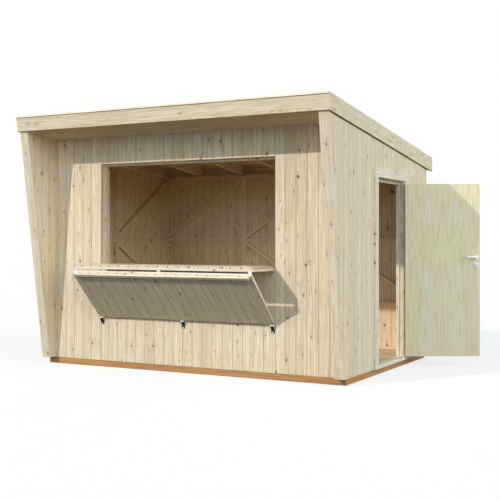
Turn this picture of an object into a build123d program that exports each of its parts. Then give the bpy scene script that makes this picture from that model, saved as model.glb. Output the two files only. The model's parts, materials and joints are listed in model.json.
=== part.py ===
"""Wooden market hut with raked side wings, a folding serving hatch and a side door.

Millimetres, +Z up, X to the right and Y to the rear. The origin lies on the ground,
under the middle of the floor.
"""
from build123d import *
import math
import os

os.makedirs("parts", exist_ok=True)

# Overall form
hut_width = 3560.0
hut_depth = 2360.0
roof_slope_deg = 6.75
wing_rake_deg = 8.3
wing_foot_reach = 91.0
rear_overhang = 135.0

# Timber sections
board_thickness = 20.0
frame_depth = 62.0
frame_width = 42.0
double_stud_width = 84.0
base_height = 68.0
beam_width = 95.0
base_side_setback = 20.0
base_end_setback = 5.0
joist_width = 45.0
joist_spacing = 560.0
joists_each_side = 2
floor_thickness = 18.0

# Heights of the horizontal rails in the wall frames, at their middle
low_rail_height = 606.0
middle_rail_height = 1347.0

# Roof: the fascias reach below the rafters, and the side boards end short of them.
# The front strip drips over the fascia and slants back.
rafter_width = 60.0
rafter_depth = 112.0
rafter_spacing = 610.0
rafters_each_side = 2
deck_thickness = 18.0
soffit_thickness = 12.0
fascia_thickness = 20.0
fascia_drop = 8.0
rear_fascia_lift = 40.0
board_head_gap = 10.0
strip_width = 60.0
strip_thickness = 20.0
strip_drip = 10.0
strip_slant = 20.0

# Serving opening and its timber frame, with the head's drop below the canopy
serving_width = 2076.0
serving_shift = -12.0
serving_head_drop = 281.0
serving_frame_depth = 95.0
serving_post_width = 47.0
serving_head_depth = 73.0
serving_sill_depth = 80.0
stop_width = 24.0
stop_setback = 50.0

# Folding hatch: a counter leaf at the sill and a flap leaf at its front edge.
# Both have boards inside on a frame of rails and stiles outside, and together they fill the opening.
# A strip along the fold stiffens the flap's boards.
leaf_thickness = 44.0
leaf_rail_width = 42.0
fold_strip_width = 30.0
fold_strip_thickness = 17.0
fold_share = 0.4062
counter_underside = 1055.0
leaf_gap = 6.0
pin_standoff = 8.0
flap_wall_gap = 8.0

# Hatch hinges, long at the sill and short at the fold
sill_hinge_distance = 40.0
sill_hinge_length = 64.0
fold_hinge_distance = 24.0
fold_hinge_length = 36.0
hinge_plate_height = 32.0
hinge_plate_thickness = 3.0
knuckle_radius = 6.5
knuckle_gap = 0.5
pin_radius = 3.0
pin_clearance = 0.3

# Bent catches on the wall under the flap's lower edge, each with a slot over a turning staple
catch_end_distance = 16.0
catch_width = 36.0
catch_thickness = 4.0
catch_foot_height = 30.0
catch_rise = 42.0
catch_lip_height = 10.0
catch_reach = 30.0
catch_clearance = 8.0
catch_slot_width = 20.0
catch_slot_height = 34.0
staple_gap = 3.0
staple_reach = 34.0

# Doorway in the right wall and its joinery
doorway_from_front = 760.0
doorway_width = 806.0
doorway_head_height = 1970.0
doorway_headroom = 292.1
threshold_height = 36.0
jamb_thickness = 22.0
door_stop_width = 35.0
door_stop_thickness = 14.0
door_head_stop_drop = 30.0
casing_width = 96.0
casing_thickness = 20.0
casing_reveal = 6.0
casing_hinge_reveal = 12.0

# Door leaf and its fittings
door_thickness = 40.0
door_gap = 6.0
door_head_gap = 24.0
door_open_deg = 118.5
door_pin_standoff = 8.0
door_pin_proud = 7.0
door_hinge_height = 90.0
door_hinge_plate = 38.0
door_hinge_height_shares = (0.12, 0.5, 0.88)
handle_height = 1167.0
keyhole_height = 1082.0
handle_backset = 36.0
rose_radius = 23.0
rose_thickness = 8.0
rose_taper_deg = 20.0
lever_length = 112.0
lever_radius = 8.0
lever_standoff = 46.0
lever_end_bevel = 2.5
handle_clearance = 0.6
keyhole_radius = 4.5
keyhole_slit = 4.0
keyhole_length = 18.0

# Planes of the walls, from the outside in
side_x = hut_width / 2
frame_x = side_x - board_thickness
inner_x = frame_x - frame_depth
lining_x = inner_x - board_thickness
front_y = -hut_depth / 2
rear_y = hut_depth / 2
front_frame_y = front_y + board_thickness
front_inner_y = front_frame_y + frame_depth
rear_frame_y = rear_y - board_thickness
rear_inner_y = rear_frame_y - frame_depth
sole_top = base_height + frame_width
floor_top = base_height + floor_thickness
slope = math.tan(math.radians(roof_slope_deg))
rake = math.tan(math.radians(wing_rake_deg))
slope_stretch = 1 / math.cos(math.radians(roof_slope_deg))
rake_stretch = 1 / math.cos(math.radians(wing_rake_deg))
soffit_drop = soffit_thickness * slope_stretch
rafter_rise = rafter_depth * slope_stretch
deck_rise = rafter_rise + deck_thickness * slope_stretch
strip_rise = deck_rise + strip_thickness * slope_stretch
board_head_drop = fascia_drop + board_head_gap
rear_jamb_from_front = doorway_from_front + doorway_width + jamb_thickness
canopy_height = doorway_head_height + doorway_headroom + rear_jamb_from_front * slope - soffit_drop
serving_head_height = canopy_height - serving_head_drop
rear_fascia_y = rear_y + rear_overhang
fascia_x = side_x + fascia_thickness


def roof_z(y, rise=0.0):
    """Height of the rafters' underside at a distance along the hut, or of a plane above it."""
    return canopy_height + soffit_drop - (y - front_y) * slope + rise


def wing_y(z, back=0.0):
    """Place of the wing's raked front face at a height, or of a plane behind it."""
    return front_y - wing_foot_reach - (z - base_height) * rake + back * rake_stretch


def wing_top(back=0.0, rise=0.0):
    """Point where a plane behind the raked front meets a plane above the rafters' underside."""
    reach = wing_foot_reach - back * rake_stretch
    level = canopy_height + soffit_drop + rise
    z = (level + slope * (reach - base_height * rake)) / (1 - slope * rake)
    return (wing_y(z, back), z)


def block(x_ends, y_ends, z_ends):
    """Rectangular timber between two ends on each axis."""
    middle = [(a + b) / 2 for a, b in (x_ends, y_ends, z_ends)]
    with Locations(tuple(middle)):
        Box(abs(x_ends[1] - x_ends[0]), abs(y_ends[1] - y_ends[0]), abs(z_ends[1] - z_ends[0]))


def side_profile(points, x_from, x_to):
    """Timber with an outline seen from the side, between two places across the hut."""
    with BuildSketch(Plane.YZ.offset(min(x_from, x_to))) as outline:
        with BuildLine():
            Polyline(*points, close=True)
        make_face()
    extrude(outline.sketch, amount=abs(x_to - x_from))


def front_profile(points, y_from, y_to):
    """Timber with an outline seen from the rear wall's side, between two places along the hut."""
    with BuildSketch(Plane.XZ.offset(-max(y_from, y_to))) as outline:
        with BuildLine():
            Polyline(*points, close=True)
        make_face()
    extrude(outline.sketch, amount=abs(y_to - y_from))


def save(part, name):
    """Label a finished piece and write it under the same name."""
    part.label = name
    export_step(part, f"parts/{name}.step")


def pair(x_from, x_to):
    """The same span across the hut on the left and on the right."""
    return ((-x_to, -x_from), (x_from, x_to))


# Base beams, joists and floor
base_x = side_x - base_side_setback
base_front = front_y + base_end_setback
base_rear = rear_y - base_end_setback

with BuildPart() as base_cross_beams:
    for y_ends in ((base_front, base_front + beam_width), (base_rear - beam_width, base_rear)):
        block((-base_x, base_x), y_ends, (0, base_height))
save(base_cross_beams.part, "base_cross_beams")

with BuildPart() as base_side_beams:
    for x_ends in pair(base_x - beam_width, base_x):
        block(x_ends, (base_front + beam_width, base_rear - beam_width), (0, base_height))
save(base_side_beams.part, "base_side_beams")

with BuildPart() as floor_joists:
    for step in range(-joists_each_side, joists_each_side + 1):
        x = step * joist_spacing
        x_ends = (x - joist_width / 2, x + joist_width / 2)
        block(x_ends, (base_front + beam_width, base_rear - beam_width), (0, base_height))
save(floor_joists.part, "floor_joists")

with BuildPart() as floor_boards:
    block((-inner_x, inner_x), (front_inner_y, rear_inner_y), (base_height, floor_top))
save(floor_boards.part, "floor_boards")

# Serving opening
serving_x = serving_width / 2
pin_z = counter_underside - pin_standoff
pin_y = front_y - pin_standoff
sill_top = pin_z - leaf_gap
serving_inner_y = front_frame_y + serving_frame_depth
post_outer_x = serving_x + serving_post_width
front_top = roof_z(front_frame_y)
front_plate_bottom = roof_z(front_inner_y) - frame_width
serving_plane = Plane(origin=(serving_shift, 0, 0))


def beside(reach):
    """Spans from a reach on either side of the opening's middle to the side walls' frames."""
    return ((-inner_x, serving_shift - reach), (serving_shift + reach, inner_x))


with BuildPart() as front_wall_sides:
    for x_ends in beside(serving_x):
        block(x_ends, (front_y, front_frame_y), (base_height, front_top))
save(front_wall_sides.part, "front_wall_sides")

with BuildPart(serving_plane) as front_wall_below:
    block((-serving_x, serving_x), (front_y, front_frame_y), (base_height, sill_top))
save(front_wall_below.part, "front_wall_below")

with BuildPart(serving_plane) as front_wall_head:
    block((-serving_x, serving_x), (front_y, front_frame_y), (serving_head_height, front_top))
save(front_wall_head.part, "front_wall_head")

with BuildPart(serving_plane) as serving_posts:
    for x_ends in pair(serving_x, post_outer_x):
        block(x_ends, (front_frame_y, serving_inner_y), (sole_top, front_plate_bottom))
save(serving_posts.part, "serving_posts")

with BuildPart(serving_plane) as serving_head:
    head_ends = (serving_head_height, serving_head_height + serving_head_depth)
    block((-serving_x, serving_x), (front_frame_y, serving_inner_y), head_ends)
save(serving_head.part, "serving_head")

with BuildPart(serving_plane) as serving_sill:
    sill_ends = (sill_top - serving_sill_depth, sill_top)
    block((-serving_x, serving_x), (front_frame_y, serving_inner_y), sill_ends)
save(serving_sill.part, "serving_sill")

stop_y_ends = (front_y + stop_setback, serving_inner_y)
with BuildPart(serving_plane) as serving_top_stop:
    block((-serving_x, serving_x), stop_y_ends, (serving_head_height - stop_width, serving_head_height))
save(serving_top_stop.part, "serving_top_stop")

with BuildPart(serving_plane) as serving_side_stops:
    for x_ends in pair(serving_x - stop_width, serving_x):
        block(x_ends, stop_y_ends, (sill_top, serving_head_height - stop_width))
save(serving_side_stops.part, "serving_side_stops")

# Side and rear walls
door_near = front_y + doorway_from_front
door_far = door_near + doorway_width
jamb_near = door_near - jamb_thickness
jamb_far = door_far + jamb_thickness
lintel_z = doorway_head_height + jamb_thickness
board_foot = (wing_y(base_height, board_thickness), base_height)
board_peak = wing_top(board_thickness)
board_head = wing_top(board_thickness, -board_head_drop)


def wall_top(y, drop=0.0):
    """Point at the top of a side wall, on the rafters' underside or a drop below it."""
    return (y, roof_z(y, -drop))


def boards_top(y):
    """Point at the top of a side wall's boards."""
    return wall_top(y, board_head_drop)


with BuildPart() as left_wall:
    outline = [board_foot, (rear_y, base_height), boards_top(rear_y), board_head]
    side_profile(outline, -side_x, -frame_x)
save(left_wall.part, "left_wall")

with BuildPart() as right_wall_front:
    outline = [board_foot, (jamb_near, base_height), boards_top(jamb_near), board_head]
    side_profile(outline, frame_x, side_x)
save(right_wall_front.part, "right_wall_front")

with BuildPart() as right_wall_rear:
    outline = [(jamb_far, base_height), (rear_y, base_height), boards_top(rear_y), boards_top(jamb_far)]
    side_profile(outline, frame_x, side_x)
save(right_wall_rear.part, "right_wall_rear")

with BuildPart() as right_wall_over_door:
    outline = [(jamb_near, lintel_z), (jamb_far, lintel_z), boards_top(jamb_far), boards_top(jamb_near)]
    side_profile(outline, frame_x, side_x)
save(right_wall_over_door.part, "right_wall_over_door")

with BuildPart() as rear_wall:
    block((-frame_x, frame_x), (rear_frame_y, rear_y), (base_height, roof_z(rear_y)))
save(rear_wall.part, "rear_wall")

# Raked wings: inner lining and front board
with BuildPart() as wing_linings:
    outline = [board_foot, (front_y, base_height), wall_top(front_y), board_peak]
    for x_ends in pair(lining_x, inner_x):
        side_profile(outline, *x_ends)
save(wing_linings.part, "wing_linings")

with BuildPart() as wing_front_boards:
    outline = [(wing_y(base_height), base_height), board_foot, board_peak, wing_top()]
    for x_ends in pair(lining_x, side_x):
        side_profile(outline, *x_ends)
save(wing_front_boards.part, "wing_front_boards")

# Wall frames: studs, rails and braces
low_rail = (low_rail_height - frame_width / 2, low_rail_height + frame_width / 2)
middle_rail = (middle_rail_height - frame_width / 2, middle_rail_height + frame_width / 2)
rear_plate_top = roof_z(rear_frame_y)
rear_plate_bottom = rear_plate_top - frame_width
corner_studs = ((front_frame_y, front_frame_y + frame_width), (rear_frame_y - frame_width, rear_frame_y))
left_studs = (corner_studs[0], (-frame_width / 2, frame_width / 2), corner_studs[1])
door_studs = ((jamb_near - frame_width, jamb_near), (jamb_far, jamb_far + frame_width))
right_studs = (corner_studs[0], *door_studs, corner_studs[1])
rear_stud_x = inner_x / 3
rear_studs = pair(rear_stud_x - double_stud_width / 2, rear_stud_x + double_stud_width / 2)


def side_stud(y_ends, x_ends):
    """Upright of a side wall, cut to the slope under the top plate."""
    low, high = y_ends
    top = [(high, roof_z(high) - frame_width), (low, roof_z(low) - frame_width)]
    side_profile([(low, sole_top), (high, sole_top), *top], *x_ends)


def bays(studs):
    """Clear spans between neighbouring uprights."""
    return [(a[1], b[0]) for a, b in zip(studs[:-1], studs[1:])]


left_x, right_x = pair(inner_x, frame_x)

with BuildPart() as wall_studs:
    for y_ends in left_studs:
        side_stud(y_ends, left_x)
    for y_ends in right_studs:
        side_stud(y_ends, right_x)
    for x_ends in rear_studs:
        block(x_ends, (rear_inner_y, rear_frame_y), (sole_top, rear_plate_bottom))
    under_sill = (sole_top, sill_top - serving_sill_depth)
    block((-frame_width / 2, frame_width / 2), (front_frame_y, front_inner_y), under_sill)
    for x_ends in (left_x, right_x):
        back = board_thickness + frame_width
        foot = [(wing_y(base_height, board_thickness), base_height), (wing_y(base_height, back), base_height)]
        side_profile([*foot, wing_top(back), board_peak], *x_ends)
save(wall_studs.part, "wall_studs")

with BuildPart() as side_wall_rails:
    block(left_x, (front_frame_y, rear_frame_y), (base_height, sole_top))
    for y_ends in ((front_frame_y, jamb_near), (jamb_far, rear_frame_y)):
        block(right_x, y_ends, (base_height, sole_top))
    for x_ends in (left_x, right_x):
        upper = [wall_top(rear_frame_y), wall_top(front_frame_y)]
        lower = [(y, z - frame_width) for y, z in reversed(upper)]
        side_profile([*lower, *upper], *x_ends)
    for z_ends in (low_rail, middle_rail):
        for y_ends in bays(left_studs):
            block(left_x, y_ends, z_ends)
        for y_ends in (bays(right_studs)[0], bays(right_studs)[2]):
            block(right_x, y_ends, z_ends)
save(side_wall_rails.part, "side_wall_rails")

rear_ends = ((-inner_x, -inner_x), *rear_studs, (inner_x, inner_x))
with BuildPart() as cross_wall_rails:
    for y_ends in ((front_frame_y, front_inner_y), (rear_inner_y, rear_frame_y)):
        block((-inner_x, inner_x), y_ends, (base_height, sole_top))
    block((-inner_x, inner_x), (rear_inner_y, rear_frame_y), (rear_plate_bottom, rear_plate_top))
    block((-inner_x, inner_x), (front_frame_y, front_inner_y), (front_plate_bottom, roof_z(front_inner_y)))
    for z_ends in (low_rail, middle_rail):
        for x_ends in bays(rear_ends):
            block(x_ends, (rear_inner_y, rear_frame_y), z_ends)
        for x_ends in beside(post_outer_x):
            block(x_ends, (front_frame_y, front_inner_y), z_ends)
    left_of_stud = (serving_shift - serving_x, -frame_width / 2)
    right_of_stud = (frame_width / 2, serving_shift + serving_x)
    for x_ends in (left_of_stud, right_of_stud):
        block(x_ends, (front_frame_y, front_inner_y), low_rail)
save(cross_wall_rails.part, "cross_wall_rails")


def brace_outlines(start, end, top_z):
    """Two braces that spread from the middle rail to the top plate and to the low rail."""
    run = end - start
    pieces = []
    for near, far in ((middle_rail[1], top_z), (middle_rail[0], low_rail[1])):
        width = math.copysign(frame_width * math.hypot(run, far - near) / abs(run), far - near)
        pieces.append([(start, near), (end, far - width), (end, far), (start, near + width)])
    return pieces


with BuildPart() as wall_braces:
    for x_ends, spans in ((left_x, bays(left_studs)), (right_x, bays(right_studs)[:1])):
        for start, end in spans:
            for outline in brace_outlines(start, end, roof_z(end) - frame_width):
                side_profile(outline, *x_ends)
    for start, end in bays(rear_ends):
        for outline in brace_outlines(start, end, rear_plate_bottom):
            front_profile(outline, rear_inner_y, rear_frame_y)
save(wall_braces.part, "wall_braces")

# Roof
rafter_places = [step * rafter_spacing for step in range(-rafters_each_side, rafters_each_side + 1)]
edge_rafter_x = side_x - rafter_width / 2
rafter_places = [-edge_rafter_x, *rafter_places, edge_rafter_x]


def roof_layer(low, high, front_low, front_high, rear):
    """Side outline of a layer of the roof between two planes above the rafters' underside."""
    return [front_low, (rear, roof_z(rear, low)), (rear, roof_z(rear, high)), front_high]


with BuildPart() as rafters:
    outline = roof_layer(0, rafter_rise, wing_top(), wing_top(0, rafter_rise), rear_fascia_y)
    for x in rafter_places:
        side_profile(outline, x - rafter_width / 2, x + rafter_width / 2)
save(rafters.part, "rafters")

with BuildPart() as roof_deck:
    fronts = (wing_top(0, rafter_rise), wing_top(0, deck_rise))
    side_profile(roof_layer(rafter_rise, deck_rise, *fronts, rear_fascia_y), -side_x, side_x)
save(roof_deck.part, "roof_deck")

with BuildPart() as canopy_soffit:
    fronts = (wing_top(0, -soffit_drop), wing_top())
    side_profile(roof_layer(-soffit_drop, 0, *fronts, front_y), -lining_x, lining_x)
save(canopy_soffit.part, "canopy_soffit")

roof_end = rear_fascia_y + fascia_thickness
with BuildPart() as front_fascia:
    inner_edge = [wing_top(0, -fascia_drop), wing_top(0, deck_rise)]
    outer_edge = [wing_top(-fascia_thickness, deck_rise), wing_top(-fascia_thickness, -fascia_drop)]
    side_profile([*inner_edge, *outer_edge], -fascia_x, fascia_x)
save(front_fascia.part, "front_fascia")

with BuildPart() as side_fascias:
    fronts = (wing_top(0, -fascia_drop), wing_top(0, deck_rise))
    for x_ends in pair(side_x, fascia_x):
        side_profile(roof_layer(-fascia_drop, deck_rise, *fronts, roof_end), *x_ends)
save(side_fascias.part, "side_fascias")

with BuildPart() as rear_fascia:
    rear_fascia_low = rear_fascia_lift - fascia_drop
    fronts = [(rear_fascia_y, roof_z(rear_fascia_y, rise)) for rise in (rear_fascia_low, deck_rise)]
    side_profile(roof_layer(rear_fascia_low, deck_rise, *fronts, roof_end), -side_x, side_x)
save(rear_fascia.part, "rear_fascia")

front_strip_y = wing_top(-fascia_thickness, deck_rise)[0] + strip_width
rear_strip_y = roof_end - strip_width


def strip_ends(y):
    """Lower and upper point of an edge strip's end at a distance along the hut."""
    return [(y, roof_z(y, rise)) for rise in (deck_rise, strip_rise)]


with BuildPart() as roof_cross_strips:
    drip = -fascia_thickness - strip_drip
    fronts = (wing_top(drip, deck_rise), wing_top(drip + strip_slant, strip_rise))
    side_profile(roof_layer(deck_rise, strip_rise, *fronts, front_strip_y), -fascia_x, fascia_x)
    fronts = strip_ends(rear_strip_y)
    side_profile(roof_layer(deck_rise, strip_rise, *fronts, roof_end), -fascia_x, fascia_x)
save(roof_cross_strips.part, "roof_cross_strips")

with BuildPart() as roof_side_strips:
    fronts = strip_ends(front_strip_y)
    for x_ends in pair(fascia_x - strip_width, fascia_x):
        side_profile(roof_layer(deck_rise, strip_rise, *fronts, rear_strip_y), *x_ends)
save(roof_side_strips.part, "roof_side_strips")

with BuildPart() as eaves_blocks:
    wall_head = roof_z(rear_y)
    upper = [(rear_y, roof_z(rear_y, rafter_rise)), (rear_frame_y, roof_z(rear_frame_y, rafter_rise))]
    for left, right in zip(rafter_places[:-1], rafter_places[1:]):
        x_ends = (left + rafter_width / 2, right - rafter_width / 2)
        side_profile([(rear_frame_y, wall_head), (rear_y, wall_head), *upper], *x_ends)
save(eaves_blocks.part, "eaves_blocks")

# Doorway joinery
threshold_top = base_height + threshold_height
casing_x = side_x + casing_thickness
casing_head_z = doorway_head_height + casing_reveal
casing_near = door_near - casing_reveal
casing_far = door_far + casing_hinge_reveal

with BuildPart() as door_jambs:
    for y_ends in ((jamb_near, door_near), (door_far, jamb_far)):
        block((inner_x, side_x), y_ends, (base_height, lintel_z))
save(door_jambs.part, "door_jambs")

with BuildPart() as door_head:
    block((inner_x, side_x), (door_near, door_far), (doorway_head_height, lintel_z))
save(door_head.part, "door_head")

with BuildPart() as door_threshold:
    block((inner_x, casing_x), (door_near, door_far), (base_height, threshold_top))
save(door_threshold.part, "door_threshold")

stop_x_ends = (inner_x, inner_x + door_stop_width)
stop_z = doorway_head_height - door_head_stop_drop
with BuildPart() as door_side_stops:
    for y_ends in ((door_near, door_near + door_stop_thickness), (door_far - door_stop_thickness, door_far)):
        block(stop_x_ends, y_ends, (threshold_top, stop_z))
save(door_side_stops.part, "door_side_stops")

with BuildPart() as door_head_stop:
    block(stop_x_ends, (door_near, door_far), (stop_z, doorway_head_height))
save(door_head_stop.part, "door_head_stop")

with BuildPart() as door_casing_legs:
    for y_ends in ((casing_near - casing_width, casing_near), (casing_far, casing_far + casing_width)):
        block((side_x, casing_x), y_ends, (base_height, casing_head_z))
save(door_casing_legs.part, "door_casing_legs")

with BuildPart() as door_casing_head:
    y_ends = (casing_near - casing_width, casing_far + casing_width)
    block((side_x, casing_x), y_ends, (casing_head_z, casing_head_z + casing_width))
save(door_casing_head.part, "door_casing_head")


def hinge_half(places, standoff, reach, length, fixed):
    """Plate and knuckles of one half of a butt hinge, with its axis along the plane's own X.

    The plate lies on the surface under the axis and reaches away from it along Y.
    The fixed half has the two outer knuckles and the pin, the moving half the middle one.
    """
    start = knuckle_radius + knuckle_gap
    third = length / 3
    plate_z = (-standoff, hinge_plate_thickness - standoff)
    outer = ((-length / 2, -third / 2 - knuckle_gap), (third / 2 + knuckle_gap, length / 2))
    middle = ((knuckle_gap - third / 2, third / 2 - knuckle_gap),)
    for x in places:
        block((x - length / 2, x + length / 2), (start, start + reach), plate_z)
        for low, high in outer if fixed else middle:
            block((x + low, x + high), (0, start), plate_z)
            with Locations((x + (low + high) / 2, 0, 0)):
                Cylinder(knuckle_radius, high - low, rotation=(0, 90, 0))
        with Locations((x, 0, 0)):
            if fixed:
                Cylinder(pin_radius, length, rotation=(0, 90, 0))
            else:
                Cylinder(pin_radius + pin_clearance, length, rotation=(0, 90, 0), mode=Mode.SUBTRACT)


# Door leaf, swung open about its pins on the rear jamb
door_pin_x = side_x + door_pin_proud
door_pin_y = door_far - door_gap / 2
swing = math.radians(door_open_deg - 90)
door_along = (math.cos(swing), math.sin(swing), 0)
door_outward = (-math.sin(swing), math.cos(swing), 0)
door_pin = (door_pin_x, door_pin_y, 0)
door_plane = Plane(origin=door_pin, x_dir=door_along, z_dir=(0, 0, 1))
door_foot = threshold_top + door_gap
door_top = doorway_head_height - door_head_gap
door_edge = door_gap / 2
door_width = doorway_width - 2 * door_gap
door_outer = -door_pin_standoff
door_inner = door_outer - door_thickness
hinge_heights = [door_foot + share * (door_top - door_foot) for share in door_hinge_height_shares]

handle_x = door_edge + door_width - handle_backset
handle_origin = door_plane.from_local_coords((handle_x, 0, 0))
handle_plane = Plane(origin=handle_origin, x_dir=door_along, z_dir=door_outward)


def keyhole():
    """Outline of a keyhole: a round hole with a slit below it."""
    with Locations((0, -keyhole_height)):
        Circle(keyhole_radius)
        with Locations((0, keyhole_length / 2)):
            Rectangle(keyhole_slit, keyhole_length)


with BuildPart(door_plane) as door_leaf:
    block((door_edge, door_edge + door_width), (door_inner, door_outer), (door_foot, door_top))
    with BuildSketch(handle_plane.offset(door_inner)):
        with Locations((0, -handle_height)):
            Circle(lever_radius + handle_clearance)
        keyhole()
    extrude(amount=door_thickness, mode=Mode.SUBTRACT)
save(door_leaf.part, "door_leaf")

with BuildPart() as door_roses:
    for face, out in ((door_outer, 1), (door_inner, -1)):
        with BuildSketch(handle_plane.offset(face)):
            with Locations((0, -handle_height), (0, -keyhole_height)):
                Circle(rose_radius)
        extrude(amount=out * rose_thickness, taper=rose_taper_deg)
        with BuildSketch(handle_plane.offset(face)):
            with Locations((0, -handle_height)):
                Circle(lever_radius + handle_clearance)
            keyhole()
        extrude(amount=out * rose_thickness, mode=Mode.SUBTRACT)
save(door_roses.part, "door_roses")

with BuildPart() as door_handles:
    reaches = (door_outer + lever_standoff, door_inner - lever_standoff)
    tips = [(handle_x - lever_length, y, handle_height) for y in reaches]
    corners = [(handle_x, y, handle_height) for y in reaches]
    route = [door_plane.from_local_coords(point) for point in (tips[0], *corners, tips[1])]
    with BuildLine() as bar:
        Polyline(*route)
    with BuildSketch(Plane(origin=route[0], z_dir=bar.line % 0)):
        Circle(lever_radius)
    sweep(transition=Transition.RIGHT)
    chamfer(faces().filter_by(GeomType.PLANE).edges(), lever_end_bevel)
save(door_handles.part, "door_handles")

with BuildPart(Plane(origin=door_pin, x_dir=(0, 0, 1), z_dir=door_outward)) as door_hinge_leaves:
    hinge_half(hinge_heights, door_pin_standoff, door_hinge_plate, door_hinge_height, False)
save(door_hinge_leaves.part, "door_hinge_leaves")

with BuildPart(Plane(origin=door_pin, x_dir=(0, 0, -1), z_dir=(1, 0, 0))) as door_hinge_posts:
    post_reach = casing_far - door_pin_y - knuckle_radius - knuckle_gap
    hinge_half([-z for z in hinge_heights], door_pin_proud, post_reach, door_hinge_height, True)
save(door_hinge_posts.part, "door_hinge_posts")

# Folding hatch, open: the counter level and the flap leaning back to the wall
leaf_x = serving_x - leaf_gap
leaf_rail_thickness = leaf_thickness - board_thickness
leaves_height = serving_head_height - pin_z - 2 * leaf_gap
counter_depth = fold_share * leaves_height
flap_length = leaves_height - counter_depth
counter_front = pin_y - counter_depth
fold_y = counter_front - leaf_gap / 2
flap_end = leaf_gap / 2 + flap_length
flap_swing = math.hypot(flap_end, pin_standoff)
flap_lean = math.acos((front_y - flap_wall_gap - fold_y) / flap_swing) - math.atan2(pin_standoff, flap_end)
flap_outward = (0, math.sin(flap_lean), math.cos(flap_lean))
sill_pin = (serving_shift, pin_y, pin_z)
fold_pin = (serving_shift, fold_y, pin_z)
flap_plane = Plane(origin=fold_pin, x_dir=(1, 0, 0), z_dir=flap_outward)
sill_hinge_x = leaf_x - sill_hinge_distance
fold_hinge_x = leaf_x - fold_hinge_distance
sill_hinges = (-sill_hinge_x, 0, sill_hinge_x)
fold_hinges = (-fold_hinge_x, 0, fold_hinge_x)

counter_boards_z = counter_underside + leaf_rail_thickness
counter_rail_z = (counter_underside, counter_boards_z)
with BuildPart(serving_plane) as counter_leaf:
    block((-leaf_x, leaf_x), (counter_front, pin_y), (counter_boards_z, counter_underside + leaf_thickness))
save(counter_leaf.part, "counter_leaf")

with BuildPart(serving_plane) as counter_rails:
    for y_ends in ((counter_front, counter_front + leaf_rail_width), (pin_y - leaf_rail_width, pin_y)):
        block((-leaf_x, leaf_x), y_ends, counter_rail_z)
save(counter_rails.part, "counter_rails")

with BuildPart(serving_plane) as counter_stiles:
    for x_ends in pair(leaf_x - leaf_rail_width, leaf_x):
        block(x_ends, (counter_front + leaf_rail_width, pin_y - leaf_rail_width), counter_rail_z)
save(counter_stiles.part, "counter_stiles")

flap_start = leaf_gap / 2
flap_boards_z = -pin_standoff - leaf_rail_thickness
flap_face_z = -pin_standoff - leaf_thickness
flap_rail_z = (flap_boards_z, -pin_standoff)
with BuildPart(flap_plane) as flap_leaf:
    block((-leaf_x, leaf_x), (flap_start, flap_end), (flap_face_z, flap_boards_z))
save(flap_leaf.part, "flap_leaf")

strip_x = serving_x - stop_width - leaf_gap
with BuildPart(flap_plane) as flap_rails:
    for y_ends in ((flap_start, flap_start + leaf_rail_width), (flap_end - leaf_rail_width, flap_end)):
        block((-leaf_x, leaf_x), y_ends, flap_rail_z)
    strip_y = (flap_start, flap_start + fold_strip_width)
    block((-strip_x, strip_x), strip_y, (flap_face_z - fold_strip_thickness, flap_face_z))
save(flap_rails.part, "flap_rails")

with BuildPart(flap_plane) as flap_stiles:
    for x_ends in pair(leaf_x - leaf_rail_width, leaf_x):
        block(x_ends, (flap_start + leaf_rail_width, flap_end - leaf_rail_width), flap_rail_z)
save(flap_stiles.part, "flap_stiles")

with BuildPart(Plane(origin=sill_pin, x_dir=(-1, 0, 0), z_dir=(0, -1, 0))) as sill_hinge_plates:
    hinge_half(sill_hinges, pin_standoff, hinge_plate_height, sill_hinge_length, True)
save(sill_hinge_plates.part, "sill_hinge_plates")

with BuildPart(Plane(origin=sill_pin, x_dir=(1, 0, 0), z_dir=(0, 0, -1))) as counter_rear_hinges:
    hinge_half(sill_hinges, pin_standoff, hinge_plate_height, sill_hinge_length, False)
save(counter_rear_hinges.part, "counter_rear_hinges")

with BuildPart(Plane(origin=fold_pin, x_dir=(-1, 0, 0), z_dir=(0, 0, -1))) as counter_front_hinges:
    hinge_half(fold_hinges, pin_standoff, hinge_plate_height, fold_hinge_length, True)
save(counter_front_hinges.part, "counter_front_hinges")

with BuildPart(flap_plane) as flap_hinges:
    hinge_half(fold_hinges, pin_standoff, hinge_plate_height, fold_hinge_length, False)
save(flap_hinges.part, "flap_hinges")

# Catches on the front wall, bent forward to just under the path of the flap's lower edge
catch_face_y = front_y - catch_reach - catch_thickness
flap_sweep = math.hypot(flap_end, pin_standoff + leaf_thickness) + catch_clearance
catch_top = pin_z - math.sqrt(flap_sweep ** 2 - (catch_face_y - fold_y) ** 2)
catch_bend = catch_top - catch_lip_height
catch_knee = catch_bend - catch_rise
catch_foot = catch_knee - catch_foot_height
catch_x = leaf_x - catch_end_distance
catch_places = [(x, (catch_bend + catch_knee) / 2) for x in (-catch_x, 0, catch_x)]
catch_plane = Plane(origin=(serving_shift, front_y, 0), x_dir=(1, 0, 0), z_dir=(0, -1, 0))

with BuildPart() as flap_catches:
    bends = [(0, catch_foot), (0, catch_knee), (catch_reach, catch_bend), (catch_reach, catch_top)]
    wall_side = [(front_y - reach, z) for reach, z in bends]
    free_side = [(front_y - reach - catch_thickness, z) for reach, z in reversed(bends)]
    for x, _ in catch_places:
        middle_x = serving_shift + x
        side_profile([*wall_side, *free_side], middle_x - catch_width / 2, middle_x + catch_width / 2)
    with BuildSketch(catch_plane):
        with Locations(*catch_places):
            SlotOverall(catch_slot_height, catch_slot_width, rotation=90)
    extrude(amount=catch_reach + catch_thickness, mode=Mode.SUBTRACT)
    with BuildSketch(catch_plane):
        with Locations(*catch_places):
            SlotOverall(catch_slot_height - 2 * staple_gap, catch_slot_width - 2 * staple_gap, rotation=90)
    extrude(amount=staple_reach)
save(flap_catches.part, "flap_catches")
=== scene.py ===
"""Dresses the wooden market hut: sawn boards, timbers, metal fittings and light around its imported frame."""
import json
import math
import random

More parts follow.
